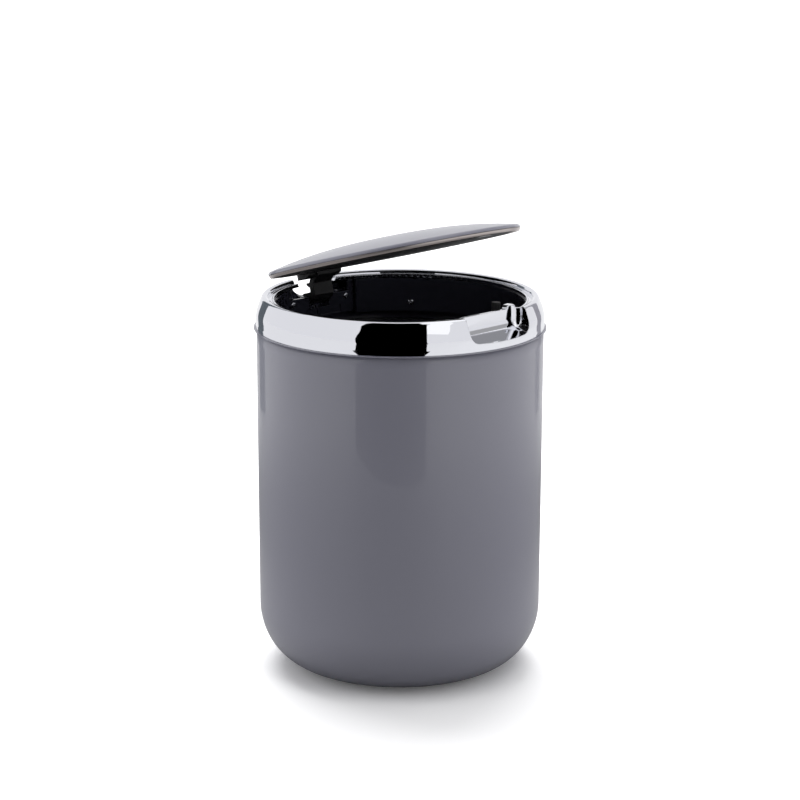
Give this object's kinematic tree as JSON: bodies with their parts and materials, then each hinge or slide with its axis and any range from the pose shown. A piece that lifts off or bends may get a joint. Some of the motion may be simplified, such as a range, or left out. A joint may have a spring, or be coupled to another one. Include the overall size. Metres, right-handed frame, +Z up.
{
  "type": "push top countertop bin",
  "caption": "Small round push-top bin: rounded steel body, chromed lift-off rim with a finger scoop, sprung domed lid and inner bucket.",
  "frame": {"origin": "bottom centre of the foot ring, on the surface that the bin stands on", "axes": "+Z up along the bin's axis; -Y towards the finger scoop at the front; the lid's hinge is at +Y"},
  "size_m": [0.2036, 0.2036, 0.3199],
  "materials": {
    "grey_lacquer": "high gloss lacquered steel",
    "chrome": "mirror plated",
    "black_gloss_abs": "gloss black moulding",
    "bucket_plastic": "satin dark grey moulding",
    "foot_rubber": "matt",
    "bright_steel": "bright zinc plated",
    "spring_steel": "drawn wire"
  },
  "bodies": {
    "base": {"outer_shell": "grey_lacquer", "foot_ring": "foot_rubber"},
    "rim_unit": {"carrier_ring": "black_gloss_abs", "chrome_rim": "chrome", "inner_skirt": "black_gloss_abs", "skirt_screws": "bright_steel", "hinge_block": "black_gloss_abs", "hinge_screws": "bright_steel", "hinge_pin": "bright_steel", "pin_clip": "spring_steel", "lid_spring": "spring_steel", "latch_housing": "black_gloss_abs", "latch_screw": "bright_steel", "latch_spring": "spring_steel"},
    "plunger": {"latch_plunger": "black_gloss_abs", "latch_magnet": "bright_steel"},
    "lid": {"lid_cover": "grey_lacquer", "lid_inner_plate": "black_gloss_abs", "lid_bracket": "black_gloss_abs", "bracket_screws": "bright_steel", "strike_plate": "bright_steel"},
    "bucket": {"inner_bucket": "bucket_plastic"},
    "bail": {"bucket_bail": "bright_steel"}
  },
  "joints": [
    {"name": "rim_lift", "type": "slide", "parent": "base", "child": "rim_unit", "axis": [0, 0, 1], "range_m": [0, 0.3]},
    {"name": "lid_hinge", "type": "hinge", "parent": "rim_unit", "child": "lid", "pos_m": [0, 0.088, 0.2495], "axis": [-1, 0, 0], "range_deg": [-16, 46], "stiffness_Nm_per_rad": 0.28, "springref_deg": 42.23},
    {"name": "latch_push", "type": "slide", "parent": "rim_unit", "child": "plunger", "axis": [0, 0, 1], "range_m": [-0.003, 0], "stiffness_N_per_m": 300, "springref_m": 0.003, "deforming": ["latch_spring"]},
    {"name": "bucket_lift", "type": "slide", "parent": "base", "child": "bucket", "axis": [0, 0, 1], "range_m": [0, 0.15]},
    {"name": "bail_swing", "type": "hinge", "parent": "bucket", "child": "bail", "pos_m": [0, 0, 0.23], "axis": [-1, 0, 0], "range_deg": [0, 90]}
  ],
  "couplings": [
    {"joint": "bucket_lift", "follows": "rim_lift", "ratio": 0.5},
    {"joint": "bail_swing", "follows": "rim_lift", "rad_per_m": 5.2}
  ]
}
